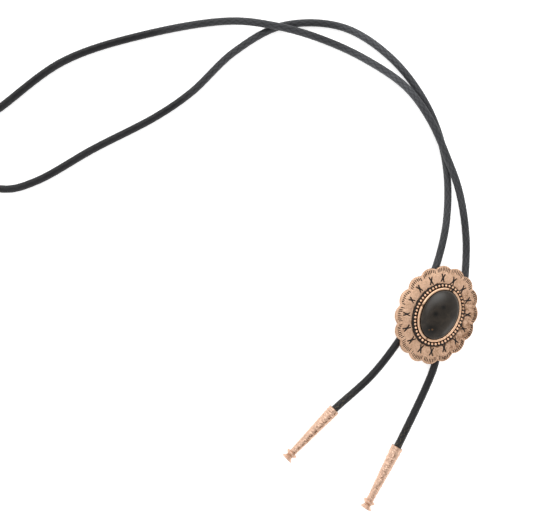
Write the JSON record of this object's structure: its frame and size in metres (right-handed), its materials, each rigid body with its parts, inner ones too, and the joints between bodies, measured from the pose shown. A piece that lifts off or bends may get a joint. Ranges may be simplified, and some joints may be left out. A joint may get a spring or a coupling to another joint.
{
  "type": "bolo tie",
  "caption": "Bolo tie laid flat: an oval scalloped slide with a domed stone on one round cord that ends in two metal tips.",
  "frame": {"origin": "on the surface that the tie lies on, straight under the middle of the slide", "axes": "+Z up, out of the slide's front; +Y along the slide's long axis, from the tips towards the neck loop; +X to the right seen from above with +Y up"},
  "size_m": [0.2886, 0.2302, 0.0147],
  "materials": {
    "slide_metal": "antiqued copper, satin, dark in the recesses",
    "tip_metal": "antiqued copper, cast bark texture",
    "stone": "polished black stone",
    "clasp_metal": "plain brushed back",
    "cord_leather": "smooth black leather, satin"
  },
  "bodies": {
    "root": {"concho": "slide_metal", "stone": "stone", "cord_clasp": "clasp_metal", "cord": "cord_leather", "tip_left": "tip_metal", "tip_right": "tip_metal"}
  },
  "joints": []
}
